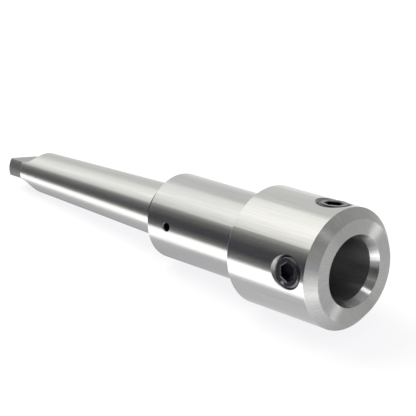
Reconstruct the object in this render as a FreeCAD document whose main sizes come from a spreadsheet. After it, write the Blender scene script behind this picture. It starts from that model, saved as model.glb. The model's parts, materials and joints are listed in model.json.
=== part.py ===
import FreeCAD, Part
import os

import Sketcher

# The arbor stands on its nose face: the origin is the centre of that face, +Z runs up the axis to the tang,
# +X runs through the front set screw and +Y through the top one. Heights are measured from the nose face.

document = FreeCAD.newDocument("annular_cutter_arbor")

# Driving dimensions, in millimetres and degrees.
DRIVING_SIZES = {
    # Socket end
    "body_diameter": 37.0,
    "body_length": 34.5,
    "nose_chamfer": 2.95,
    "bore_diameter": 19.05,
    "bore_depth": 32.0,
    "mouth_diameter": 22.0,
    "lead_in_depth": 2.65,
    "edge_break": 0.4,
    # Collar that a coolant ring runs on
    "collar_diameter": 27.8,
    "collar_length": 41.4,
    "coolant_height": 66.8,
    "coolant_diameter": 2.8,
    "coolant_mouth_diameter": 3.3,
    # Self-holding taper shank
    "gauge_diameter": 17.78,
    "gauge_offset": 5.2,
    "taper_per_length": 0.04995,
    "shank_length": 85.1,
    "relief_length": 5.2,
    "relief_depth": 0.3,
    # Tang
    "tang_diameter": 13.5,
    "tang_turned_length": 7.75,
    "tang_thickness": 5.9,
    "tang_flat_length": 7.45,
    "tang_runout_radius": 8.0,
    "tang_end_break": 0.8,
    "tang_turn": 2.6,
    "centre_diameter": 3.0,
    "centre_depth": 2.6,
    # Set screws and their tapped holes
    "screw_height": 10.0,
    "screw_spread": 90.0,
    "screw_diameter": 10.0,
    "screw_clearance": 0.05,
    "screw_length": 8.0,
    "screw_mouth_diameter": 11.72,
    "screw_edge_chamfer": 0.75,
    "screw_point_diameter": 5.5,
    "screw_cup_depth": 1.2,
    "front_screw_recess": 0.5,
    "top_screw_recess": 0.3,
    "front_hex_turn": 6.0,
    "top_hex_turn": 10.0,
    "hex_across_flats": 5.0,
    "hex_depth": 3.5,
    # Ejector in the pilot bore
    "pilot_diameter": 10.0,
    "pilot_end_height": 78.0,
    "pilot_point_depth": 2.4,
    "ring_height": 34.0,
    "ring_wire": 1.2,
    "ring_groove_diameter": 11.0,
    "ring_clearance": 0.05,
    "ring_sweep": 310.0,
    "plunger_clearance": 0.05,
    "plunger_guide_length": 10.0,
    "plunger_nose_diameter": 7.0,
    "plunger_nose_length": 3.0,
    "plunger_spigot_diameter": 6.4,
    "plunger_spigot_length": 4.0,
    "plunger_hole_diameter": 2.5,
    "plunger_edge_break": 0.4,
    "spring_diameter": 9.2,
    "spring_wire": 1.1,
    "spring_turns": 9.0,
    "seat_clearance": 0.03,
}

sheet = document.addObject("Spreadsheet::Sheet", "Size")
for row, (alias, value) in enumerate(DRIVING_SIZES.items(), start=1):
    sheet.set(f"A{row}", alias)
    sheet.set(f"B{row}", str(value))
    sheet.setAlias(f"B{row}", alias)
document.recompute()

# Places that several pieces share, as expressions on the sheet.
BODY_RADIUS = "Size.body_diameter / 2"
BORE_RADIUS = "Size.bore_diameter / 2"
COLLAR_RADIUS = "Size.collar_diameter / 2"
COLLAR_END = "(Size.body_length + Size.collar_length)"
ARBOR_END = f"({COLLAR_END} + Size.shank_length)"
TAPER_END = f"({ARBOR_END} - Size.tang_turned_length)"
GAUGE_HEIGHT = f"({COLLAR_END} + Size.gauge_offset)"
PILOT_RADIUS = "Size.pilot_diameter / 2"
RING_GROOVE_WIDTH = "(Size.ring_wire + 2 * Size.ring_clearance)"
RING_MIDDLE = f"(Size.ring_height + {RING_GROOVE_WIDTH} / 2)"
PLUNGER_SHOULDER = f"({RING_MIDDLE} + Size.ring_wire / 2 + Size.seat_clearance)"
SPRING_SEAT = f"({PLUNGER_SHOULDER} + Size.plunger_guide_length + Size.seat_clearance)"

# The spring's wire is divided into one face for each turn.
TURNS_PER_FACE = 1


def taper_radius(height):
    """Radius of the self-holding taper at a height, as an expression."""
    return f"(Size.gauge_diameter - ({height} - {GAUGE_HEIGHT}) * Size.taper_per_length) / 2"


def value_of(expression):
    """The number that an expression on the sheet gives now."""
    return float(sheet.evalExpression(expression))


def new_body(label):
    body = document.addObject("PartDesign::Body", label)
    body.Label = label
    return body


def origin_part(body, role):
    """One of the body's own origin planes or axes."""
    return next(feature for feature in body.Origin.OriginFeatures if feature.Role == role)


def new_sketch(body, name, plane_role):
    sketch = body.newObject("Sketcher::SketchObject", name)
    sketch.AttachmentSupport = (origin_part(body, plane_role), "")
    sketch.MapMode = "FlatFace"
    return sketch


def pin_point(sketch, edge, end, across, along):
    """Ties one end of an edge to a place in the sketch, given by two expressions."""
    for kind, axis, expression in (("DistanceX", -2, across), ("DistanceY", -1, along)):
        if expression == "0":
            sketch.addConstraint(Sketcher.Constraint("PointOnObject", edge, end, axis))
        else:
            place = value_of(expression)
            number = sketch.addConstraint(Sketcher.Constraint(kind, -1, 1, edge, end, place))
            sketch.setExpression(f"Constraints[{number}]", expression)


def add_outline(sketch, corners):
    """Draws a closed outline of straight edges through corners, which are pairs of expressions."""
    points = [FreeCAD.Vector(value_of(across), value_of(along), 0) for across, along in corners]
    edges = []
    for index, start in enumerate(points):
        end = points[(index + 1) % len(points)]
        edges.append(sketch.addGeometry(Part.LineSegment(start, end), False))
    for index, edge in enumerate(edges):
        following = edges[(index + 1) % len(edges)]
        sketch.addConstraint(Sketcher.Constraint("Coincident", edge, 2, following, 1))
        pin_point(sketch, edge, 1, *corners[index])


def turn_outline(body, kind, name, plane_role, corners):
    """Revolves an outline about the upright axis, as a solid or as a cut."""
    sketch = new_sketch(body, name + "_outline", plane_role)
    add_outline(sketch, corners)
    feature = body.newObject(kind, name)
    feature.Profile = sketch
    feature.ReferenceAxis = (sketch, ["V_Axis"])
    feature.Angle = 360
    document.recompute()
    return feature


def cut_radial_hole(body, name, height, radius, mouth_radius, surface_radius, inner_reach):
    """Cuts a round hole across the axis, along +X, with a 45 degree mouth where it leaves the surface."""
    sketch = new_sketch(body, name + "_outline", "XZ_Plane")
    overrun = f"({surface_radius} + {mouth_radius})"
    corners = [
        (inner_reach, height),
        (inner_reach, f"{height} + {radius}"),
        (f"{surface_radius} - ({mouth_radius} - {radius})", f"{height} + {radius}"),
        (overrun, f"{height} + 2 * ({mouth_radius})"),
        (overrun, height),
    ]
    add_outline(sketch, corners)
    inner_end = FreeCAD.Vector(value_of(inner_reach), value_of(height), 0)
    outer_end = FreeCAD.Vector(value_of(overrun), value_of(height), 0)
    axis = sketch.addGeometry(Part.LineSegment(inner_end, outer_end), True)
    pin_point(sketch, axis, 1, inner_reach, height)
    pin_point(sketch, axis, 2, overrun, height)
    groove = body.newObject("PartDesign::Groove", name)
    groove.Profile = sketch
    groove.ReferenceAxis = (sketch, ["Axis0"])
    groove.Angle = 360
    document.recompute()
    return groove


def cut_tang_flats(body):
    """Mills the two flats of the tang, each ending in a round run-out towards the taper."""
    sketch = new_sketch(body, "tang_flats_outline", "YZ_Plane")
    sketch.AttachmentOffset = FreeCAD.Placement(FreeCAD.Vector(), FreeCAD.Rotation(FreeCAD.Vector(0, 1, 0), 1))
    sketch.setExpression("AttachmentOffset.Rotation.Angle", "Size.tang_turn")
    flat_start = f"({ARBOR_END} - Size.tang_flat_length)"
    past_end = f"({ARBOR_END} + Size.tang_end_break)"
    for side in ("", "-"):
        flat = f"{side}Size.tang_thickness / 2"
        outer = f"{side}(Size.tang_thickness / 2 + Size.tang_runout_radius)"
        sign = -1 if side else 1
        radius = value_of("Size.tang_runout_radius")
        centre = FreeCAD.Vector(value_of(outer), value_of(flat_start), 0)
        bottom = centre - FreeCAD.Vector(0, radius, 0)
        tangent = centre - FreeCAD.Vector(sign * radius, 0, 0)
        middle = centre - FreeCAD.Vector(sign * radius, radius, 0) * 0.5**0.5
        top = FreeCAD.Vector(value_of(flat), value_of(past_end), 0)
        corner = FreeCAD.Vector(value_of(outer), value_of(past_end), 0)
        arc = sketch.addGeometry(Part.Arc(tangent, middle, bottom), False)
        # An arc always runs anticlockwise, so on one side its start is the tangent point and on the other its end.
        tangent_end, bottom_end = (1, 2) if side == "" else (2, 1)
        flat_edge = sketch.addGeometry(Part.LineSegment(tangent, top), False)
        end_edge = sketch.addGeometry(Part.LineSegment(top, corner), False)
        outer_edge = sketch.addGeometry(Part.LineSegment(corner, bottom), False)
        sketch.addConstraint(Sketcher.Constraint("Coincident", flat_edge, 1, arc, tangent_end))
        sketch.addConstraint(Sketcher.Constraint("Coincident", flat_edge, 2, end_edge, 1))
        sketch.addConstraint(Sketcher.Constraint("Coincident", end_edge, 2, outer_edge, 1))
        sketch.addConstraint(Sketcher.Constraint("Coincident", outer_edge, 2, arc, bottom_end))
        pin_point(sketch, arc, tangent_end, flat, flat_start)
        pin_point(sketch, arc, 3, outer, flat_start)
        sketch.addConstraint(Sketcher.Constraint("Vertical", outer_edge))
        pin_point(sketch, end_edge, 1, flat, past_end)
        pin_point(sketch, end_edge, 2, outer, past_end)
    pocket = body.newObject("PartDesign::Pocket", "tang_flats")
    pocket.Profile = sketch
    pocket.SideType = "Symmetric"
    pocket.setExpression("Length", "2 * Size.gauge_diameter")
    document.recompute()
    return pocket


def must_cut(body, feature_maker):
    """Makes a cutting feature and stops if it took nothing away."""
    before = body.Shape.Volume
    feature = feature_maker()
    if not feature.Shape.Volume < before - 0.1:
        raise RuntimeError(f"{feature.Label} cuts nothing")
    return feature


def make_arbor_body():
    """The turned piece: socket body, collar, taper shank and tang, with every bore and hole."""
    body = new_body("arbor_body")
    relief_end = f"({COLLAR_END} + Size.relief_length)"
    relief_radius = f"({taper_radius(COLLAR_END)} - Size.relief_depth)"
    tang_radius = "Size.tang_diameter / 2"
    step_at_tang = f"({taper_radius(TAPER_END)} - {tang_radius})"
    turn_outline(body, "PartDesign::Revolution", "turned_form", "XZ_Plane", [
        ("0", "0"),
        (f"{BODY_RADIUS} - Size.nose_chamfer", "0"),
        (BODY_RADIUS, "Size.nose_chamfer"),
        (BODY_RADIUS, "Size.body_length - Size.edge_break"),
        (f"{BODY_RADIUS} - Size.edge_break", "Size.body_length"),
        (COLLAR_RADIUS, "Size.body_length"),
        (COLLAR_RADIUS, f"{COLLAR_END} - Size.edge_break"),
        (f"{COLLAR_RADIUS} - Size.edge_break", COLLAR_END),
        (relief_radius, COLLAR_END),
        (relief_radius, f"{relief_end} - Size.relief_depth"),
        (taper_radius(relief_end), relief_end),
        (taper_radius(TAPER_END), TAPER_END),
        (tang_radius, f"{TAPER_END} + {step_at_tang}"),
        (tang_radius, f"{ARBOR_END} - Size.tang_end_break"),
        (f"{tang_radius} - Size.tang_end_break", ARBOR_END),
        ("0", ARBOR_END),
    ])
    must_cut(body, lambda: turn_outline(body, "PartDesign::Groove", "cutter_socket", "XZ_Plane", [
        ("0", "0"),
        ("Size.mouth_diameter / 2", "0"),
        (BORE_RADIUS, "Size.lead_in_depth"),
        (BORE_RADIUS, "Size.bore_depth"),
        ("0", "Size.bore_depth"),
    ]))
    must_cut(body, lambda: turn_outline(body, "PartDesign::Groove", "pilot_bore", "XZ_Plane", [
        ("0", "Size.bore_depth"),
        (PILOT_RADIUS, "Size.bore_depth"),
        (PILOT_RADIUS, "Size.pilot_end_height"),
        ("Size.plunger_hole_diameter / 2", "Size.pilot_end_height"),
        ("0", "Size.pilot_end_height + Size.pilot_point_depth"),
    ]))
    ring_groove_top = f"(Size.ring_height + {RING_GROOVE_WIDTH})"
    must_cut(body, lambda: turn_outline(body, "PartDesign::Groove", "ring_groove", "XZ_Plane", [
        (f"{PILOT_RADIUS} - Size.ring_clearance", "Size.ring_height"),
        ("Size.ring_groove_diameter / 2", "Size.ring_height"),
        ("Size.ring_groove_diameter / 2", ring_groove_top),
        (f"{PILOT_RADIUS} - Size.ring_clearance", ring_groove_top),
    ]))
    must_cut(body, lambda: turn_outline(body, "PartDesign::Groove", "tang_centre", "XZ_Plane", [
        ("0", f"{ARBOR_END} - Size.centre_depth"),
        ("Size.centre_diameter / 2", ARBOR_END),
        ("Size.centre_diameter / 2", f"{ARBOR_END} + Size.centre_depth"),
        ("0", f"{ARBOR_END} + Size.centre_depth"),
    ]))
    must_cut(body, lambda: cut_tang_flats(body))
    must_cut(body, lambda: cut_radial_hole(
        body, "coolant_hole", "Size.coolant_height", "Size.coolant_diameter / 2",
        "Size.coolant_mouth_diameter / 2", COLLAR_RADIUS, f"{PILOT_RADIUS} / 2",
    ))
    screw_hole = must_cut(body, lambda: cut_radial_hole(
        body, "screw_hole", "Size.screw_height", "Size.screw_diameter / 2",
        "Size.screw_mouth_diameter / 2", BODY_RADIUS, f"{BORE_RADIUS} / 2",
    ))
    screw_holes = body.newObject("PartDesign::PolarPattern", "screw_holes")
    screw_holes.Originals = [screw_hole]
    screw_holes.Axis = (origin_part(body, "Z_Axis"), [""])
    screw_holes.Occurrences = 2
    screw_holes.setExpression("Angle", "Size.screw_spread")
    body.Tip = screw_holes
    document.recompute()
    return body


def make_set_screw(label, recess, hex_turn):
    """A socket set screw with a cup point. Its own axis is +Z, and its socket end is at 0."""
    body = new_body(label)
    radius = "(Size.screw_diameter / 2 - Size.screw_clearance)"
    point_radius = "Size.screw_point_diameter / 2"
    point_top = f"{radius} - {point_radius} - Size.screw_length"
    turn_outline(body, "PartDesign::Revolution", "screw_form", "XZ_Plane", [
        ("0", "0"),
        (f"{radius} - Size.screw_edge_chamfer", "0"),
        (radius, "-Size.screw_edge_chamfer"),
        (radius, point_top),
        (point_radius, "-Size.screw_length"),
        ("0", "Size.screw_cup_depth - Size.screw_length"),
    ])
    sketch = new_sketch(body, "hex_outline", "XY_Plane")
    sketch.AttachmentOffset = FreeCAD.Placement(FreeCAD.Vector(), FreeCAD.Rotation(FreeCAD.Vector(0, 0, 1), 1))
    sketch.setExpression("AttachmentOffset.Rotation.Angle", hex_turn)
    across = "Size.hex_across_flats / 2"
    short = "Size.hex_across_flats / (2 * sqrt(3))"
    tall = "Size.hex_across_flats / sqrt(3)"
    add_outline(sketch, [
        (across, short), ("0", tall), (f"-{across}", short),
        (f"-{across}", f"-{short}"), ("0", f"-{tall}"), (across, f"-{short}"),
    ])

    def cut_hex():
        pocket = body.newObject("PartDesign::Pocket", "hex_socket")
        pocket.Profile = sketch
        pocket.setExpression("Length", "Size.hex_depth")
        document.recompute()
        return pocket

    must_cut(body, cut_hex)
    body.Placement.Rotation = FreeCAD.Rotation(FreeCAD.Vector(0, 1, 0), 90)
    body.setExpression("Placement.Base.z", "Size.screw_height")
    return body, f"{BODY_RADIUS} - {recess}"


def make_front_set_screw():
    body, reach = make_set_screw("set_screw_front", "Size.front_screw_recess", "Size.front_hex_turn")
    body.setExpression("Placement.Base.x", reach)
    return body


def make_top_set_screw():
    """The second screw, turned about the arbor's axis to the second hole."""
    body, reach = make_set_screw("set_screw_top", "Size.top_screw_recess", "Size.top_hex_turn")
    about_axis = FreeCAD.Rotation(FreeCAD.Vector(0, 0, 1), value_of("Size.screw_spread"))
    body.Placement.Rotation = about_axis.multiply(body.Placement.Rotation)
    body.setExpression("Placement.Base.x", f"({reach}) * cos(Size.screw_spread)")
    body.setExpression("Placement.Base.y", f"({reach}) * sin(Size.screw_spread)")
    return body


def make_ejector_plunger():
    """The plunger that pushes the pilot pin forward. Its shoulder is at 0 and its nose points down to the socket."""
    body = new_body("ejector_plunger")
    guide_radius = f"({PILOT_RADIUS} - Size.plunger_clearance)"
    nose_radius = "Size.plunger_nose_diameter / 2"
    spigot_radius = "Size.plunger_spigot_diameter / 2"
    spigot_end = "(Size.plunger_guide_length + Size.plunger_spigot_length)"
    hole_radius = "Size.plunger_hole_diameter / 2"
    turn_outline(body, "PartDesign::Revolution", "plunger_form", "XZ_Plane", [
        (hole_radius, "-Size.plunger_nose_length"),
        (f"{nose_radius} - Size.plunger_edge_break", "-Size.plunger_nose_length"),
        (nose_radius, "Size.plunger_edge_break - Size.plunger_nose_length"),
        (nose_radius, "0"),
        (guide_radius, "0"),
        (guide_radius, "Size.plunger_guide_length"),
        (spigot_radius, "Size.plunger_guide_length"),
        (spigot_radius, f"{spigot_end} - Size.plunger_edge_break"),
        (f"{spigot_radius} - Size.plunger_edge_break", spigot_end),
        (hole_radius, spigot_end),
    ])
    body.setExpression("Placement.Base.z", PLUNGER_SHOULDER)
    return body


def make_retaining_ring():
    """The round-wire snap ring in its groove, with a gap to squeeze it by."""
    ring = document.addObject("Part::Torus", "retaining_ring")
    ring.setExpression("Radius1", "(Size.ring_groove_diameter - Size.ring_wire) / 2 - Size.ring_clearance")
    ring.setExpression("Radius2", "Size.ring_wire / 2")
    ring.setExpression("Angle3", "Size.ring_sweep")
    ring.setExpression("Placement.Base.z", RING_MIDDLE)
    return ring


def make_ejector_spring():
    """The compression spring between the plunger's rear face and the bottom of the pilot bore."""
    coil_radius = "(Size.spring_diameter - Size.spring_wire) / 2"
    wire_height = f"(Size.pilot_end_height - {SPRING_SEAT} - Size.spring_wire - Size.seat_clearance)"
    helix = document.addObject("Part::Helix", "spring_line")
    helix.setExpression("Radius", coil_radius)
    helix.setExpression("Height", wire_height)
    helix.setExpression("Pitch", f"{wire_height} / Size.spring_turns")
    helix.SegmentLength = TURNS_PER_FACE
    section = document.addObject("Part::Circle", "spring_section")
    section.Placement.Rotation = FreeCAD.Rotation(FreeCAD.Vector(1, 0, 0), 90)
    section.setExpression("Radius", "Size.spring_wire / 2")
    section.setExpression("Placement.Base.x", coil_radius)
    document.recompute()
    spring = document.addObject("Part::Sweep", "ejector_spring")
    spring.Sections = [section]
    spring.Spine = (helix, [f"Edge{number}" for number in range(1, len(helix.Shape.Edges) + 1)])
    spring.Solid = True
    spring.Frenet = True
    spring.setExpression("Placement.Base.z", f"{SPRING_SEAT} + Size.spring_wire / 2")
    return spring


sub_parts = [
    make_arbor_body(),
    make_front_set_screw(),
    make_top_set_screw(),
    make_ejector_plunger(),
    make_retaining_ring(),
    make_ejector_spring(),
]
document.recompute()

for item in document.Objects:
    if "Invalid" in item.State or "Error" in item.State:
        raise RuntimeError(f"{item.Label} failed: {item.State}")
for item in sub_parts:
    if item.Shape.isNull() or not item.Shape.isValid() or len(item.Shape.Solids) != 1:
        raise RuntimeError(f"{item.Label} is not one valid solid")

os.makedirs("parts", exist_ok=True)
for item in sub_parts:
    item.Shape.exportStep(f"parts/{item.Label}.step")
    box = item.Shape.BoundBox
    print(f"{item.Label}: volume {item.Shape.Volume:.1f} mm3, z {box.ZMin:.2f} to {box.ZMax:.2f} mm")
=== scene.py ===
import json
import math

import bmesh
import bpy
from mathutils import Matrix, Vector


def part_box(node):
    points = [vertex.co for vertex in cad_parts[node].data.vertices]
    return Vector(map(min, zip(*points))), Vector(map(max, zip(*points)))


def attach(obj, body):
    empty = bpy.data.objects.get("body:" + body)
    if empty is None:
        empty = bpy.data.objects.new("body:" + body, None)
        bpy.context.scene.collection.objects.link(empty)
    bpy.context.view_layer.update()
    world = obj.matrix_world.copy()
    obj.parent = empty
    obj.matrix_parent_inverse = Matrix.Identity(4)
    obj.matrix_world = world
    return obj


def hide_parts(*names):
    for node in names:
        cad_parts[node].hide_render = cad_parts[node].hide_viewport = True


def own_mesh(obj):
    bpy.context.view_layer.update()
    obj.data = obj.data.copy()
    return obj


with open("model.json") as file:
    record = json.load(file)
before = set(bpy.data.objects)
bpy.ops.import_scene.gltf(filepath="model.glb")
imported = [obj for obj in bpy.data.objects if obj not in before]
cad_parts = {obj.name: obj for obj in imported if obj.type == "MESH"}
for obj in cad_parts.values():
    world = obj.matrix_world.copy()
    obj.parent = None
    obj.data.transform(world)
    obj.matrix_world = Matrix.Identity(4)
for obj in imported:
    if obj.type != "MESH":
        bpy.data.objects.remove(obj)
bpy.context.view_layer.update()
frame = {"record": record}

# The arbor is one bar of alloy steel: turned, bored and drilled, then ground on its body, collar and taper.
# Its turned faces and chamfers keep their ring marks. Its bore has a darker colour, painted shade, and its
# holes and the groove by the collar a darker one still, also painted shade. Its side holes and the flats of
# its tang are cut further down.

MM = 0.001
mounts = {mount["name"]: mount for mount in frame["record"]["mounts"]}
body_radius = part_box("arbor_body")[1][0]
arbor_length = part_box("arbor_body")[1][2]
body_length = mounts["coolant_ring_shoulder"]["pos_m"][2]
bore_radius = mounts["cutter_socket"]["dims"]["r_mm"] * MM
collar_radius = mounts["collar"]["dims"]["r_mm"] * MM
gauge_height = mounts["taper_shank"]["pos_m"][2]

nose_chamfer = 2.95 * MM
mouth_radius = 11.0 * MM
lead_in_depth = 2.65 * MM
bore_depth = 32.0 * MM
edge_break = 0.4 * MM
corner_round = 0.12 * MM
collar_length = 41.4 * MM
collar_end = body_length + collar_length
gauge_radius = 8.89 * MM
taper_slope = 0.04995 / 2
relief_length = 5.2 * MM
relief_depth = 0.3 * MM
shade_strip_length = 0.35 * MM
tang_radius = 6.75 * MM
tang_turned_length = 7.75 * MM
tang_end_break = 0.8 * MM
centre_radius = 1.5 * MM
centre_depth = 2.6 * MM
pilot_radius = 5.0 * MM
pilot_end = 78.0 * MM
pilot_point_radius = 1.25 * MM
pilot_point_depth = 2.4 * MM
ring_wire = 1.2 * MM
ring_clearance = 0.05 * MM
ring_groove_start = 34.0 * MM
ring_groove_end = ring_groove_start + ring_wire + 2 * ring_clearance
ring_groove_radius = 5.5 * MM


class Socket:
    """A socket in a node tree. Arithmetic on it adds Math nodes, and add() brings in any other node."""

    def __init__(self, tree, link=None):
        self.tree = tree
        self.link = link

    def add(self, kind, settings=None, sockets=None, out=0):
        """Adds a node: its settings first, then its sockets' values or links. Returns one of its outputs."""
        node = self.tree.nodes.new(kind)
        for name, value in (settings or {}).items():
            setattr(node, name, value)
        for key, value in (sockets or {}).items():
            if isinstance(value, Socket):
                self.tree.links.new(value.link, node.inputs[key])
            else:
                node.inputs[key].default_value = value
        return Socket(self.tree, node.outputs[out]) if node.outputs else None

    def out(self, name):
        """Another output of the same node."""
        return Socket(self.tree, self.link.node.outputs[name])

    def math(self, operation, *values):
        return self.add("ShaderNodeMath", {"operation": operation}, dict(enumerate((self, *values))))

    def __add__(self, other):
        return self.math("ADD", other)

    def __radd__(self, other):
        return self.math("ADD", other)

    def __sub__(self, other):
        return self.math("SUBTRACT", other)

    def __rsub__(self, other):
        return self.math("MULTIPLY", -1.0).math("ADD", other)

    def __mul__(self, other):
        return self.math("MULTIPLY", other)

    def __rmul__(self, other):
        return self.math("MULTIPLY", other)

    def __truediv__(self, other):
        return self.math("DIVIDE", other)

    def colour_between(self, first, last, share):
        """A colour that goes from the first to the last as share goes from 0 to 1."""
        ends = {0: share, 6: (*first, 1.0), 7: (*last, 1.0)}
        return self.add("ShaderNodeMix", {"data_type": "RGBA"}, ends, 2)

    def at_least(self, other):
        return self.math("MAXIMUM", other)

    def at_most(self, other):
        return self.math("MINIMUM", other)


def new_material(name):
    """An empty node material, with a Socket on its tree."""
    material = bpy.data.materials.new(name)
    material.use_nodes = True
    material.node_tree.nodes.clear()
    return material, Socket(material.node_tree)


def finish_material(shader):
    """Ends a material in its surface shader."""
    shader.add("ShaderNodeOutputMaterial", {}, {"Surface": shader})


def object_point(nodes, scale=(1.0, 1.0, 1.0)):
    """The object's own coordinates in metres, stretched by scale."""
    point = nodes.add("ShaderNodeTexCoord", {}, {}, "Object")
    return nodes.add("ShaderNodeMapping", {}, {"Vector": point, "Scale": scale})


def noise(nodes, point, scale, detail=3.0):
    return nodes.add("ShaderNodeTexNoise", {}, {"Vector": point, "Scale": scale, "Detail": detail})


def axial_marks(nodes, around, along):
    """Fine marks that run along the axis on a wall, and outwards on a flat end."""
    flat = object_point(nodes, (1.0, 1.0, 0.0))
    direction = nodes.add("ShaderNodeVectorMath", {"operation": "NORMALIZE"}, {0: flat})
    distance = nodes.add("ShaderNodeVectorMath", {"operation": "LENGTH"}, {0: flat}, "Value")
    height = nodes.add("ShaderNodeSeparateXYZ", {}, {"Vector": object_point(nodes)}, "Z")
    turned = nodes.add("ShaderNodeVectorMath", {"operation": "SCALE"}, {0: direction, "Scale": around})
    lengthwise = nodes.add("ShaderNodeCombineXYZ", {}, {"Z": (height + distance) * along})
    place = nodes.add("ShaderNodeVectorMath", {"operation": "ADD"}, {0: turned, 1: lengthwise})
    return noise(nodes, place, 1.0, 4.0)


def steel(name, colour, roughness, stretch, marks, depth, contrast):
    """Machined steel, with marks of a depth in metres and a gloss stretched across the tool's path."""
    patch_scale = 90.0
    patch_contrast = 0.04
    quarter_turn = 0.25
    material, nodes = new_material(name)
    grain = marks(nodes)
    patches = noise(nodes, object_point(nodes), patch_scale)
    darker = tuple(part * (1.0 - contrast) for part in colour)
    brighter = tuple(part * (1.0 + contrast) for part in colour)
    bump = nodes.add("ShaderNodeBump", {}, {"Height": grain, "Distance": depth})
    finish_material(nodes.add("ShaderNodeBsdfPrincipled", {}, {
        "Base Color": nodes.colour_between(darker, brighter, grain),
        "Metallic": 1.0,
        "Roughness": roughness + (patches - 0.5) * patch_contrast,
        "Anisotropic": stretch,
        "Anisotropic Rotation": quarter_turn,
        "Normal": bump,
    }))
    return material


def ground_marks(nodes):
    return axial_marks(nodes, 120.0, 60.0)


def turned_marks(nodes):
    return axial_marks(nodes, 45.0, 350.0)


def bored_marks(nodes):
    return axial_marks(nodes, 30.0, 120.0)


def rough_marks(nodes):
    return noise(nodes, object_point(nodes), 900.0)


def milled_marks(nodes):
    return noise(nodes, object_point(nodes, (40.0, 2000.0, 40.0)), 1.0)


arbor_finishes = [
    steel("ground_steel", (0.74, 0.735, 0.72), 0.16, 0.93, ground_marks, 1e-6, 0.20),
    steel("ground_collar", (0.69, 0.69, 0.68), 0.17, 0.93, ground_marks, 1e-6, 0.20),
    steel("ground_taper", (0.74, 0.735, 0.72), 0.21, 0.93, ground_marks, 1e-6, 0.20),
    steel("faced_steel", (0.70, 0.70, 0.69), 0.33, 0.97, turned_marks, 1e-6, 0.20),
    steel("turned_steel", (0.68, 0.68, 0.67), 0.36, 0.75, turned_marks, 1e-6, 0.20),
    steel("mouth_steel", (0.66, 0.66, 0.66), 0.25, 0.80, turned_marks, 1e-6, 0.30),
    # Painted shade: the bore's steel is given a darker colour for the shade inside the bore.
    steel("bored_steel", (0.36, 0.36, 0.37), 0.38, 0.96, bored_marks, 1e-6, 0.25),
    # Painted shade: the hole walls, the threads and the groove by the collar get a darker colour still, for
    # the shade in them.
    steel("tapped_steel", (0.22, 0.22, 0.22), 0.40, 0.0, rough_marks, 1e-6, 0.10),
    steel("milled_steel", (0.44, 0.44, 0.43), 0.35, 0.0, milled_marks, 2e-6, 0.10),
    steel("tang_steel", (0.30, 0.305, 0.30), 0.55, 0.0, rough_marks, 3e-6, 0.20),
]
GROUND, COLLAR, TAPER, FACED, TURNED, MOUTH, BORE_SHADE, RECESS_SHADE, MILLED, TANG = range(len(arbor_finishes))


def rounded_outline(corners, steps=4, border=0.06 * MM):
    """Points of a turned outline, each with the finish of the run after it.

    A corner is (radius, height, rounding, finish). A narrow border beside each rounding keeps long faces
    flat.
    """
    places = [Vector(corner[:2]) for corner in corners]
    points = []
    for index, (radius, height, rounding, finish) in enumerate(corners):
        place = places[index]
        if not rounding:
            points.append((place, finish))
            continue
        to_last = (places[index - 1] - place).normalized()
        to_next = (places[(index + 1) % len(places)] - place).normalized()
        half_angle = to_last.angle(to_next) / 2
        reach = rounding / math.tan(half_angle)
        centre = place + (to_last + to_next).normalized() * rounding / math.sin(half_angle)
        first_arm = place + to_last * reach - centre
        last_arm = place + to_next * reach - centre
        points.append((place + to_last * (reach + border), corners[index - 1][3]))
        for step in range(steps + 1):
            points.append((centre + first_arm.slerp(last_arm, step / steps).normalized() * rounding, finish))
        points.append((place + to_next * (reach + border), finish))
    return points


def turn(name, outline, materials, sides=384, closed=False):
    """Turns an outline about the upright axis into a closed mesh object."""
    axis_radius = 1e-7
    mesh = bmesh.new()
    rings = []
    for place, _ in outline:
        if place.x < axis_radius:
            rings.append([mesh.verts.new((0.0, 0.0, place.y))] * sides)
            continue
        angles = [math.tau * side / sides for side in range(sides)]
        rings.append([
            mesh.verts.new((place.x * math.cos(angle), place.x * math.sin(angle), place.y))
            for angle in angles
        ])
    for index in range(len(rings) if closed else len(rings) - 1):
        ring = rings[index]
        following = rings[(index + 1) % len(rings)]
        for side in range(sides):
            beside = (side + 1) % sides
            corners = dict.fromkeys((ring[side], ring[beside], following[beside], following[side]))
            if len(corners) > 2:
                mesh.faces.new(list(corners)).material_index = outline[index][1]
    return finished_object(name, mesh, materials)


def finished_object(name, mesh, materials):
    """An object from a bmesh, with its faces turned outwards and smooth except at sharp edges."""
    bmesh.ops.recalc_face_normals(mesh, faces=mesh.faces)
    data = bpy.data.meshes.new(name)
    mesh.to_mesh(data)
    mesh.free()
    for material in materials:
        data.materials.append(material)
    thing = bpy.data.objects.new(name, data)
    bpy.context.scene.collection.objects.link(thing)
    smooth(thing)
    return thing


def smooth(thing, sharp_angle=30):
    thing.data.polygons.foreach_set("use_smooth", [True] * len(thing.data.polygons))
    thing.data.set_sharp_from_angle(angle=math.radians(sharp_angle))


def cut(thing, cutters):
    """Cuts each cutter out of a thing. The cut faces keep the cutter's material, and the cutter goes."""
    for cutter in cutters:
        modifier = thing.modifiers.new("cut", "BOOLEAN")
        modifier.operation = "DIFFERENCE"
        modifier.solver = "EXACT"
        modifier.material_mode = "TRANSFER"
        modifier.object = cutter
    bake(thing)
    for cutter in cutters:
        bpy.data.objects.remove(cutter)
    smooth(thing)


def bake(thing):
    """Turns a thing's modifiers into plain mesh."""
    depsgraph = bpy.context.evaluated_depsgraph_get()
    made = bpy.data.meshes.new_from_object(thing.evaluated_get(depsgraph))
    made.name = thing.name
    thing.modifiers.clear()
    thing.data = made


def taper_radius(height):
    return gauge_radius - (height - gauge_height) * taper_slope


relief_end = collar_end + relief_length
relief_radius = taper_radius(collar_end) - relief_depth
taper_end = arbor_length - tang_turned_length

# The relief's step and a narrow strip where the taper starts get the dark recess finish: painted shade of the
# groove by the collar.
shade_strip_end = relief_end + shade_strip_length

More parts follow.
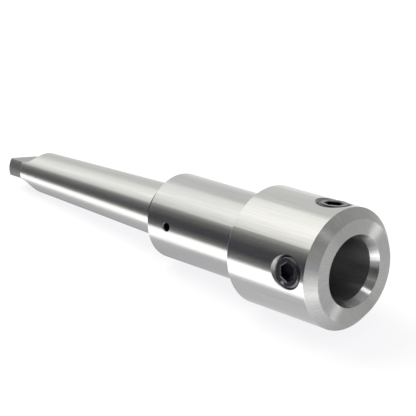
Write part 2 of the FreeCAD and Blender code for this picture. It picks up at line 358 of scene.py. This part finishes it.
arbor = turn("arbor", rounded_outline([
    (0.0, pilot_end + pilot_point_depth, 0.0, BORE_SHADE),
    (pilot_point_radius, pilot_end, 0.0, BORE_SHADE),
    (pilot_radius, pilot_end, 0.0, BORE_SHADE),
    (pilot_radius, ring_groove_end, 0.0, BORE_SHADE),
    (ring_groove_radius, ring_groove_end, 0.0, BORE_SHADE),
    (ring_groove_radius, ring_groove_start, 0.0, BORE_SHADE),
    (pilot_radius, ring_groove_start, 0.0, BORE_SHADE),
    (pilot_radius, bore_depth, corner_round, BORE_SHADE),
    (bore_radius, bore_depth, 0.0, BORE_SHADE),
    (bore_radius, lead_in_depth, corner_round, MOUTH),
    (mouth_radius, 0.0, corner_round, FACED),
    (body_radius - nose_chamfer, 0.0, corner_round, TURNED),
    (body_radius, nose_chamfer, corner_round, GROUND),
    (body_radius, body_length - edge_break, corner_round, TURNED),
    (body_radius - edge_break, body_length, corner_round, TURNED),
    (collar_radius, body_length, corner_round, COLLAR),
    (collar_radius, collar_end - edge_break, corner_round, TURNED),
    (collar_radius - edge_break, collar_end, corner_round, TURNED),
    (relief_radius, collar_end, corner_round, TURNED),
    # The relief's step and the strip after it are painted shade.
    (relief_radius, relief_end - relief_depth, corner_round, RECESS_SHADE),
    (taper_radius(relief_end), relief_end, corner_round, RECESS_SHADE),
    (taper_radius(shade_strip_end), shade_strip_end, 0.0, TAPER),
    (taper_radius(taper_end), taper_end, corner_round, TURNED),
    (tang_radius, taper_end + taper_radius(taper_end) - tang_radius, corner_round, TANG),
    (tang_radius, arbor_length - tang_end_break, corner_round, TANG),
    (tang_radius - tang_end_break, arbor_length, corner_round, TANG),
    (centre_radius, arbor_length, corner_round, BORE_SHADE),
    (0.0, arbor_length - centre_depth, 0.0, BORE_SHADE),
]), arbor_finishes)

# The arbor's side holes are drilled and tapped next: two M10 screw holes with 45 degree mouths, and a coolant
# hole. The two flats of the tang are milled with a round cutter, which leaves a curved run-out.

screw_height = 10.0 * MM
thread_pitch = 1.5 * MM
hole_root_radius = 5.0 * MM
hole_crest_radius = 4.2 * MM
screw_mouth_radius = 5.86 * MM
coolant_height = 66.8 * MM
coolant_radius = 1.4 * MM
coolant_mouth_radius = 1.65 * MM
tang_thickness = 5.9 * MM
tang_flat_length = 7.45 * MM
tang_runout_radius = 8.0 * MM
tang_turn = math.radians(2.6)
top_turn = math.radians(90)


def radial_place(height, turn_angle, reach):
    """The matrix that stands an upright thing on the arbor's side, pointing outwards from reach."""
    outwards = Matrix.Rotation(turn_angle, 4, "Z") @ Matrix.Rotation(math.radians(90), 4, "Y")
    place = (reach * math.cos(turn_angle), reach * math.sin(turn_angle), height)
    return Matrix.Translation(place) @ outwards


def tree_with_inputs(name, inputs):
    """A Geometry Nodes tree with named inputs and one mesh output."""
    tree = bpy.data.node_groups.new(name, "GeometryNodeTree")
    for label, kind in inputs.items():
        tree.interface.new_socket(label, in_out="INPUT", socket_type="NodeSocket" + kind)
    tree.interface.new_socket("Geometry", in_out="OUTPUT", socket_type="NodeSocketGeometry")
    return tree, Socket(tree).add("NodeGroupInput")


def end_tree(nodes, geometry, material):
    """Ends a tree in Realize Instances and Set Material."""
    real = nodes.add("GeometryNodeRealizeInstances", {}, {"Geometry": geometry})
    painted = nodes.add("GeometryNodeSetMaterial", {}, {"Geometry": real, "Material": material})
    nodes.add("NodeGroupOutput", {}, {"Geometry": painted})


def grow(name, tree, values, material):
    """Makes a plain mesh object from a tree, with its inputs given by name and no empty first material."""
    thing = bpy.data.objects.new(name, bpy.data.meshes.new(name))
    bpy.context.scene.collection.objects.link(thing)
    modifier = thing.modifiers.new("grow", "NODES")
    modifier.node_group = tree
    for item in tree.interface.items_tree:
        if item.in_out == "INPUT":
            modifier[item.identifier] = material if item.name == "Material" else values[item.name]
    bake(thing)
    if thing.data.materials[0] is None:
        thing.data.materials.pop(index=0)
    return thing


def threaded_bar_tree():
    """A threaded bar along the upright axis: its surface is a grid whose rows follow the helix.

    Depth is measured downwards from the surface of the body, so that a screw and its hole share one thread.
    The flats at the thread's root and crest are shares of its pitch.
    """
    rows_per_turn = 16
    around = 96
    root_flat = 0.25
    crest_flat = 0.125
    rounding_guard = 1e-4
    tree, given = tree_with_inputs("threaded_bar", {
        "First Depth": "Float", "Last Depth": "Float", "Crest Radius": "Float", "Root Radius": "Float",
        "First End Radius": "Float", "Last End Radius": "Float", "Mouth Radius": "Float",
        "Cup Depth": "Float", "Pitch": "Float", "Rows": "Int", "Material": "Material",
    })
    first = given.out("First Depth")
    last = given.out("Last Depth")
    root = given.out("Root Radius")
    rows = given.out("Rows")
    grid = given.add("GeometryNodeMeshGrid", {}, {"Vertices X": rows, "Vertices Y": around + 1})
    number = given.add("GeometryNodeInputIndex")
    row = (number / (around + 1.0) + rounding_guard).math("FLOOR")
    column = number - row * (around + 1.0)
    share = column / float(around)
    helix_depth = first + ((row - 1.0) / float(rows_per_turn) + share - 1.0) * given.out("Pitch")
    depth = helix_depth.at_least(first).at_most(last)
    place_in_thread = (depth / given.out("Pitch") - share).math("FRACT")
    from_root = (place_in_thread - 0.5).math("ABSOLUTE") * 2.0 - root_flat
    flank = from_root / (1.0 - root_flat - crest_flat)
    thread = root + flank.at_least(0.0).at_most(1.0) * (given.out("Crest Radius") - root)
    from_first = given.out("First End Radius") + depth - first
    from_last = given.out("Last End Radius") + last - depth
    radius = thread.at_most(from_first).at_most(from_last).at_least(given.out("Mouth Radius") - depth)
    at_first = row.math("LESS_THAN", 0.5)
    at_last = row.math("GREATER_THAN", rows - 1.5)
    open_radius = radius * (1.0 - at_first) * (1.0 - at_last)
    height = at_last * given.out("Cup Depth") - depth
    angle = share * math.tau
    place = given.add("ShaderNodeCombineXYZ", {}, {
        "X": open_radius * angle.math("COSINE"), "Y": open_radius * angle.math("SINE"), "Z": height,
    })
    moved = given.add("GeometryNodeSetPosition", {}, {"Geometry": grid, "Position": place})
    merged = given.add("GeometryNodeMergeByDistance", {}, {"Geometry": moved, "Distance": 1e-6})
    end_tree(given, merged, given.out("Material"))
    return tree, rows_per_turn


threaded_bar, rows_per_turn = threaded_bar_tree()


def threaded_thing(name, first, last, crest, root, ends, material, mouth=0.0, cup=0.0):
    """A threaded bar between two depths, with the radius of each of its ends."""
    spare_rows = 4
    rows = math.ceil((last - first) / thread_pitch * rows_per_turn) + rows_per_turn + spare_rows
    return grow(name, threaded_bar, {
        "First Depth": first, "Last Depth": last, "Crest Radius": crest, "Root Radius": root,
        "First End Radius": ends[0], "Last End Radius": ends[1], "Mouth Radius": mouth, "Cup Depth": cup,
        "Pitch": thread_pitch, "Rows": rows,
    }, material)


def outward_faces(thing):
    """Closes a grown mesh's seams and turns its faces outwards."""
    mesh = bmesh.new()
    mesh.from_mesh(thing.data)
    bmesh.ops.remove_doubles(mesh, verts=mesh.verts, dist=1e-6)
    bmesh.ops.dissolve_degenerate(mesh, edges=mesh.edges, dist=1e-7)
    bmesh.ops.recalc_face_normals(mesh, faces=mesh.faces)
    mesh.to_mesh(thing.data)
    mesh.free()
    smooth(thing)


def screw_hole(turn_angle):
    """The tap's form for one screw hole, from outside the body into the bore, with a countersunk mouth."""
    outside = -1.0 * MM
    mouth_depth = screw_mouth_radius - hole_root_radius
    inside = body_radius - bore_radius + 1.5 * MM
    hole = threaded_thing(
        "screw_hole", outside, inside, hole_root_radius, hole_crest_radius,
        (2 * screw_mouth_radius, hole_root_radius), arbor_finishes[RECESS_SHADE], mouth=screw_mouth_radius,
    )
    outward_faces(hole)
    # The thread below the mouth keeps the dark recess finish: painted shade inside the hole.
    hole.data.materials.append(arbor_finishes[MILLED])
    for face in hole.data.polygons:
        face.material_index = 1 if face.center.z > -mouth_depth else 0
    hole.data.transform(radial_place(screw_height, turn_angle, body_radius))
    return hole


def coolant_hole():
    """The drill's form for the coolant hole, with its countersunk mouth."""
    outside = 1.0 * MM
    inside = pilot_radius / 2 - collar_radius
    mouth_depth = coolant_mouth_radius - coolant_radius
    # The countersink gets the tang's finish, and the hole's wall the dark recess finish: painted shade inside
    # the hole.
    hole = turn("coolant_hole", [
        (Vector((0.0, outside)), 0),
        (Vector((coolant_mouth_radius + outside, outside)), 1),
        (Vector((coolant_radius, -mouth_depth)), 0),
        (Vector((coolant_radius, inside)), 0),
        (Vector((0.0, inside)), 0),
    ], [arbor_finishes[RECESS_SHADE], arbor_finishes[TANG]], sides=64)
    hole.data.transform(radial_place(coolant_height, 0.0, collar_radius))
    return hole


def tang_flat(side):
    """The path of the milling cutter along one flat, with its round run-out."""
    flat = tang_thickness / 2
    flat_start = arbor_length - tang_flat_length
    past_end = arbor_length + tang_end_break
    steps = 24
    outline = [Vector((flat, past_end)), Vector((flat + tang_runout_radius, past_end))]
    for step in range(steps + 1):
        angle = math.radians(90) * step / steps
        outline.append(Vector((
            flat + tang_runout_radius * (1 - math.sin(angle)),
            flat_start - tang_runout_radius * math.cos(angle),
        )))
    mesh = bmesh.new()
    half_width = 2 * tang_radius
    near = [mesh.verts.new((-half_width, side * across, height)) for across, height in outline]
    far = [mesh.verts.new((half_width, side * across, height)) for across, height in outline]
    mesh.faces.new(near)
    mesh.faces.new(far)
    for index in range(len(near)):
        beside = (index + 1) % len(near)
        mesh.faces.new((near[index], near[beside], far[beside], far[index]))
    flat_cutter = finished_object("tang_flat", mesh, [arbor_finishes[MILLED]])
    flat_cutter.data.transform(Matrix.Rotation(tang_turn, 4, "Z"))
    return flat_cutter


cut(arbor, [screw_hole(0.0), screw_hole(top_turn), coolant_hole(), tang_flat(1), tang_flat(-1)])
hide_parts("arbor_body")
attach(arbor, "arbor")

# The ejector spring goes into the pilot bore first, through the socket. It is a compression spring, wound
# from hardened round wire with closed ends, and it pushes the plunger forward.


def low_and_high(node):
    """The heights of a node's lower and upper end."""
    low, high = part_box(node)
    return low[2], high[2]


spring_radius = 4.6 * MM
spring_wire = 1.1 * MM
spring_turns = 9.0
spring_low, spring_high = low_and_high("ejector_spring")


def coiled_wire_tree():
    """Round wire wound about the upright axis, with its first and last turns closed up."""
    steps_per_turn = 48
    wire_sides = 14
    tree, given = tree_with_inputs("coiled_wire", {
        "Coil Radius": "Float", "Wire Radius": "Float", "Low End": "Float", "High End": "Float",
        "Turns": "Float", "Closed Turns": "Float", "Material": "Material",
    })
    turns = given.out("Turns")
    closed = given.out("Closed Turns")
    steps = turns * float(steps_per_turn)
    points = given.add("GeometryNodeMeshLine", {}, {"Count": steps + 1.0})
    share = given.add("GeometryNodeInputIndex") / steps.math("ROUND")
    wound = share * turns
    angle = wound * math.tau
    closed_pitch = given.out("Wire Radius") * 2.0
    height = given.out("High End") - given.out("Low End") - closed_pitch
    open_pitch = (height - closed_pitch * closed * 2.0) / (turns - closed * 2.0)
    low_part = wound.at_most(closed) * closed_pitch
    middle_part = (wound - closed).at_least(0.0).at_most(turns - closed * 2.0) * open_pitch
    high_part = (wound - turns + closed).at_least(0.0) * closed_pitch
    place = given.add("ShaderNodeCombineXYZ", {}, {
        "X": angle.math("COSINE") * given.out("Coil Radius"),
        "Y": angle.math("SINE") * given.out("Coil Radius"),
        "Z": given.out("Low End") + given.out("Wire Radius") + low_part + middle_part + high_part,
    })
    moved = given.add("GeometryNodeSetPosition", {}, {"Geometry": points, "Position": place})
    line = given.add("GeometryNodeMeshToCurve", {}, {"Mesh": moved})
    section = given.add("GeometryNodeCurvePrimitiveCircle", {}, {
        "Resolution": wire_sides, "Radius": given.out("Wire Radius"),
    })
    wire = given.add("GeometryNodeCurveToMesh", {}, {
        "Curve": line, "Profile Curve": section, "Fill Caps": True,
    })
    end_tree(given, wire, given.out("Material"))
    return tree


spring_steel = steel("spring_steel", (0.35, 0.35, 0.36), 0.35, 0.0, rough_marks, 1e-6, 0.10)
coiled_wire = coiled_wire_tree()

spring = grow("ejector_spring_wire", coiled_wire, {
    "Coil Radius": spring_radius - spring_wire / 2, "Wire Radius": spring_wire / 2,
    "Low End": spring_low, "High End": spring_high, "Turns": spring_turns, "Closed Turns": 1.0,
}, spring_steel)
outward_faces(spring)
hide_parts("ejector_spring")
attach(spring, "arbor")
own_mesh(spring)

# The ejector plunger goes in after the spring and slides in the pilot bore. It is turned from steel, pushes
# the cutter's pilot pin forward, and lets coolant through the hole in its middle.

plunger_low, plunger_high = low_and_high("ejector_plunger")
plunger_nose_length = 3.0 * MM
plunger_spigot_length = 4.0 * MM
plunger_clearance = 0.05 * MM
plunger_guide_radius = pilot_radius - plunger_clearance
plunger_nose_radius = 3.5 * MM
plunger_spigot_radius = 3.2 * MM
plunger_hole_radius = 1.25 * MM
plunger_edge_break = 0.4 * MM
plunger_shoulder = plunger_low + plunger_nose_length
plunger_guide_end = plunger_high - plunger_spigot_length
bright_steel = steel("bright_steel", (0.58, 0.58, 0.57), 0.30, 0.6, bored_marks, 1e-6, 0.10)
plunger = turn("plunger", rounded_outline([
    (plunger_hole_radius, plunger_low, 0.0, 0),
    (plunger_nose_radius - plunger_edge_break, plunger_low, 0.0, 0),
    (plunger_nose_radius, plunger_low + plunger_edge_break, 0.0, 0),
    (plunger_nose_radius, plunger_shoulder, 0.0, 0),
    (plunger_guide_radius, plunger_shoulder, corner_round, 0),
    (plunger_guide_radius, plunger_guide_end, corner_round, 0),
    (plunger_spigot_radius, plunger_guide_end, 0.0, 0),
    (plunger_spigot_radius, plunger_high - plunger_edge_break, 0.0, 0),
    (plunger_spigot_radius - plunger_edge_break, plunger_high, 0.0, 0),
    (plunger_hole_radius, plunger_high, 0.0, 0),
]), [bright_steel], sides=96, closed=True)
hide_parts("ejector_plunger")
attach(plunger, "ejector")

# The retaining ring goes in last and keeps the plunger in. It is a snap ring of round spring wire, with a gap
# to squeeze it by, and it sits in the groove of the pilot bore.

ring_turns = 310 / 360
ring_low, _ = low_and_high("retaining_ring")

snap_ring = grow("snap_ring", coiled_wire, {
    "Coil Radius": ring_groove_radius - ring_clearance - ring_wire / 2, "Wire Radius": ring_wire / 2,
    "Low End": ring_low, "High End": ring_low + ring_wire, "Turns": ring_turns, "Closed Turns": 0.0,
}, spring_steel)
outward_faces(snap_ring)
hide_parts("retaining_ring")
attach(snap_ring, "arbor")

# Two M10 socket set screws with cup points clamp the cutter's flats. They are rolled from alloy steel,
# hardened and blackened in a hot oxide bath, and each turns in its own tapped hole.

screw_length = 8.0 * MM
screw_crest_radius = 4.95 * MM
screw_root_radius = 4.03 * MM
screw_edge_chamfer = 0.75 * MM
screw_point_radius = 2.75 * MM
screw_cup_depth = 1.2 * MM
hex_across_flats = 5.0 * MM
hex_depth = 3.5 * MM
hex_mouth = 0.25 * MM


def black_oxide():
    """The oiled oxide layer of the screws, with a fine grain."""
    material, nodes = new_material("black_oxide")
    grain = noise(nodes, object_point(nodes), 2500.0)
    bump = nodes.add("ShaderNodeBump", {}, {"Height": grain, "Distance": 4e-6, "Strength": 1.0})
    finish_material(nodes.add("ShaderNodeBsdfPrincipled", {}, {
        "Base Color": nodes.colour_between((0.115, 0.110, 0.130), (0.155, 0.150, 0.170), grain),
        "Metallic": 1.0,
        "Roughness": 0.14 + grain * 0.12,
        "Normal": bump,
    }))
    return material


black_steel = black_oxide()


def hex_socket(depth_of_face, turn_angle):
    """The form of the hex socket, with a small bevel at its mouth."""
    outside = 0.5 * MM
    outline = [
        (0.0, outside),
        (hex_across_flats / 2 + hex_mouth + outside, outside),
        (hex_across_flats / 2, -hex_mouth),
        (hex_across_flats / 2, -hex_depth),
        (0.0, -hex_depth),
    ]
    to_corner = 1 / math.cos(math.radians(30))
    points = [(Vector((radius * to_corner, height - depth_of_face)), 0) for radius, height in outline]
    socket = turn("hex_socket", points, [black_steel], sides=6)
    socket.data.transform(Matrix.Rotation(math.radians(30) + turn_angle, 4, "Z"))
    return socket


def set_screw(name, node, body, hex_turn, turn_angle):
    """One set screw at its node's depth in the hole."""
    screw_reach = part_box(node)[1][0 if turn_angle == 0.0 else 1]
    recess = body_radius - screw_reach
    screw = threaded_thing(
        name, recess, recess + screw_length, screw_crest_radius, screw_root_radius,
        (screw_crest_radius - screw_edge_chamfer, screw_point_radius), black_steel, cup=screw_cup_depth,
    )
    outward_faces(screw)
    cut(screw, [hex_socket(recess, hex_turn)])
    screw.data.transform(radial_place(screw_height, turn_angle, body_radius))
    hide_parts(node)
    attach(screw, body)


set_screw("front_screw", "set_screw_front", "front_screw", hex_turn=math.radians(6), turn_angle=0.0)
set_screw("top_screw", "set_screw_top", "top_screw", hex_turn=math.radians(10), turn_angle=top_turn)

# The camera looks down on the nose from one side, with the arbor lying on a pale floor. It stands upright
# over that floor, so the floor's own upward direction is also the camera's.

floor_up = Vector((0.163, 0.982, -0.094)).normalized()
floor_drop = 21.65 * MM
camera_place = Vector((0.32326, 0.11882, -0.27603))
camera_aim = Vector((0.02874, 0.01536, 0.03267))
camera_lens = 131.75


def add_camera():
    camera = bpy.data.objects.new("camera", bpy.data.cameras.new("camera"))
    bpy.context.scene.collection.objects.link(camera)
    back = (camera_place - camera_aim).normalized()
    right = floor_up.cross(back).normalized()
    up = back.cross(right)
    turned = Matrix((right, up, back)).transposed().to_4x4()
    camera.matrix_world = Matrix.Translation(camera_place) @ turned
    camera.data.lens = camera_lens
    camera.data.sensor_width = 36.0
    camera.data.clip_start = 0.01
    bpy.context.scene.camera = camera


def seen_directly(nodes):
    """1 for rays from the camera, a gloss or a clear surface, and 0 for the others."""
    path = nodes.add("ShaderNodeLightPath", {}, {}, "Is Camera Ray")
    return (path + path.out("Is Glossy Ray") + path.out("Is Transmission Ray")).at_most(1.0)


def pale_world(ambient):
    """A white world that lights the arbor and the floor at the ambient strength."""
    world = bpy.data.worlds.new("pale_studio")
    world.use_nodes = True
    world.node_tree.nodes.clear()
    nodes = Socket(world.node_tree)
    seen = seen_directly(nodes)
    strength = seen + (1.0 - seen) * ambient
    background = nodes.add("ShaderNodeBackground", {}, {"Color": (1.0, 1.0, 1.0, 1.0), "Strength": strength})
    nodes.add("ShaderNodeOutputWorld", {}, {"Surface": background})
    bpy.context.scene.world = world


def add_floor():
    """A pale floor that shows from above only, so that it never hides the arbor from below."""
    half_width = 1.5
    glow_share = 0.8
    corners = [
        (-half_width, -half_width, 0.0), (half_width, -half_width, 0.0),
        (half_width, half_width, 0.0), (-half_width, half_width, 0.0),
    ]
    floor = flat_thing("floor", corners, [(0, 1, 2, 3)])
    turned = floor_up.to_track_quat("Z", "Y").to_matrix().to_4x4()
    floor.matrix_world = Matrix.Translation(-floor_up * floor_drop) @ turned
    floor.visible_glossy = False
    material, nodes = new_material("pale_floor")
    paper = nodes.add("ShaderNodeBsdfDiffuse", {}, {"Color": (1.0, 1.0, 0.8, 1.0)})
    glow = nodes.add("ShaderNodeEmission", {}, {"Color": (1.0, 1.0, 1.05, 1.0), "Strength": 1.0})
    lit = nodes.add("ShaderNodeMixShader", {}, {0: seen_directly(nodes) * glow_share, 1: paper, 2: glow})
    clear = nodes.add("ShaderNodeBsdfTransparent")
    behind = nodes.add("ShaderNodeNewGeometry", {}, {}, "Backfacing")
    finish_material(nodes.add("ShaderNodeMixShader", {}, {0: behind, 1: lit, 2: clear}))
    floor.data.materials.append(material)


def flat_thing(name, corners, faces):
    """A thing that stands round the arbor and isn't part of it."""
    thing = bpy.data.objects.new(name, bpy.data.meshes.new(name))
    bpy.context.scene.collection.objects.link(thing)
    thing.data.from_pydata(corners, [], faces)
    return thing


def add_card(name, azimuths, heights, distance=1.0):
    """A curved glowing card that stands along the arbor. Only the arbor's gloss shows it.

    Returns its material's nodes, and its share of the way from the first azimuth to the last.
    """
    degrees_per_step = 4
    width = math.radians(azimuths[1] - azimuths[0])
    steps = max(2, round(math.degrees(width) / degrees_per_step))
    corners = []
    for step in range(steps + 1):
        angle = width * step / steps
        corners.append((distance * math.cos(angle), distance * math.sin(angle), heights[0]))
        corners.append((distance * math.cos(angle), distance * math.sin(angle), heights[1]))
    faces = [(2 * step, 2 * step + 1, 2 * step + 3, 2 * step + 2) for step in range(steps)]
    card = flat_thing(name, corners, faces)
    card.rotation_euler.z = math.radians(azimuths[0])
    card.visible_camera = False
    card.visible_diffuse = False
    card.visible_transmission = False
    card.visible_shadow = False
    material, nodes = new_material(name)
    card.data.materials.append(material)
    place = nodes.add("ShaderNodeSeparateXYZ", {}, {"Vector": object_point(nodes)}, "X")
    return place, place.out("Y").math("ARCTAN2", place) / width


def add_wall(name, azimuths, front, middle, rear, turn_height, tint):
    """A tall card with a front, a middle and a rear glow along the arbor, the front one up to turn_height.

    Each glow is a pair, for the card's first azimuth and for its last.
    """
    half_turn = 0.2
    rear_heights = (0.9, 1.15)
    place, share = add_card(name, azimuths, (-2.5, 2.5))
    front_glow, middle_glow, rear_glow = [
        first + share * (last - first) for first, last in (front, middle, rear)
    ]
    to_middle = place.add("ShaderNodeMapRange", {"interpolation_type": "SMOOTHSTEP"}, {
        "Value": place.out("Z"), "From Min": turn_height - half_turn, "From Max": turn_height + half_turn,
    })
    to_rear = place.add("ShaderNodeMapRange", {}, {
        "Value": place.out("Z"), "From Min": rear_heights[0], "From Max": rear_heights[1],
    })
    glow = front_glow + to_middle * (middle_glow - front_glow) + to_rear * (rear_glow - middle_glow)
    finish_material(place.add("ShaderNodeEmission", {}, {"Color": (*tint, 1.0), "Strength": glow}))


def add_spot(name, azimuths, heights, strength):
    """A small bright card in front of the walls."""
    place, _ = add_card(name, azimuths, heights, distance=0.95)
    finish_material(place.add("ShaderNodeEmission", {}, {"Strength": strength}))


def add_lamp(energy):
    """One soft lamp above the arbor, towards its tang, which gives the floor its shadow."""
    lamp = bpy.data.objects.new("soft_lamp", bpy.data.lights.new("soft_lamp", "AREA"))
    bpy.context.scene.collection.objects.link(lamp)
    towards = Vector((0.3, 0.75, 0.6)).normalized()
    distance = 0.8
    lamp.location = towards * distance
    lamp.rotation_euler = towards.to_track_quat("Z", "Y").to_euler()
    lamp.data.energy = energy
    lamp.data.size = 0.6
    lamp.visible_glossy = False


white = (1.0, 1.0, 0.99)
warm = (1.0, 1.0, 0.97)
cool = (0.93, 0.96, 1.12)
lavender = (0.99, 0.99, 1.02)

# Each wall has a name, two azimuths in degrees, its front, middle and rear glow, the height in metres where
# the front glow ends, and a tint.
studio_walls = [
    ("strip_light", (-59.5, -29.5), (1.0, 1.0), (1.6, 1.6), (1.6, 1.5), -0.6, white),
    ("flag_shade", (-29.5, -12.0), (1.1, 0.70), (0.22, 0.07), (0.22, 0.10), -0.42, white),
    ("black_flag", (-12.0, 6.0), (0.70, 0.46), (0.06, 0.065), (0.07, 0.08), -1.0, cool),
    ("flag_edge", (6.0, 21.0), (0.46, 0.28), (0.065, 0.17), (0.08, 0.18), -1.0, warm),
    ("flag_rim", (21.0, 32.0), (0.28, 0.20), (0.17, 0.42), (0.18, 0.45), -0.6, warm),
    ("soft_box_near", (32.0, 60.0), (0.18, 0.14), (0.90, 1.33), (0.62, 1.05), 0.0, warm),
    ("soft_box_far", (60.0, 101.0), (0.14, 0.20), (1.33, 1.12), (1.08, 0.85), -0.12, warm),
    ("grey_wall", (101.0, 150.0), (0.30, 0.38), (0.69, 0.69), (0.69, 0.70), 0.1, white),
    ("white_wall_high", (150.0, 190.0), (0.36, 0.58), (0.71, 1.09), (0.72, 0.98), 0.6, white),
    ("white_wall_low", (190.0, 225.0), (0.50, 0.46), (1.07, 0.68), (0.30, 0.28), 0.6, white),
    ("floor_card", (225.0, 300.5), (0.46, 0.94), (0.63, 0.58), (0.40, 0.66), 0.4, lavender),
]

# Each spot has a name, two azimuths in degrees, two heights in metres and a strength.
studio_spots = [
    ("left_window", (176.5, 182.5), (-0.52, -0.30), 10.5),
    ("front_lamp", (60.0, 70.0), (-0.50, -0.12), 2.5),
    ("strip_foot", (-50.0, -42.0), (-0.45, -0.24), 3.5),
]

bpy.context.scene.view_settings.view_transform = "Standard"
add_camera()
pale_world(ambient=0.8)
add_floor()
add_lamp(energy=6.0)
for wall in studio_walls:
    add_wall(*wall)
for spot in studio_spots:
    add_spot(*spot)
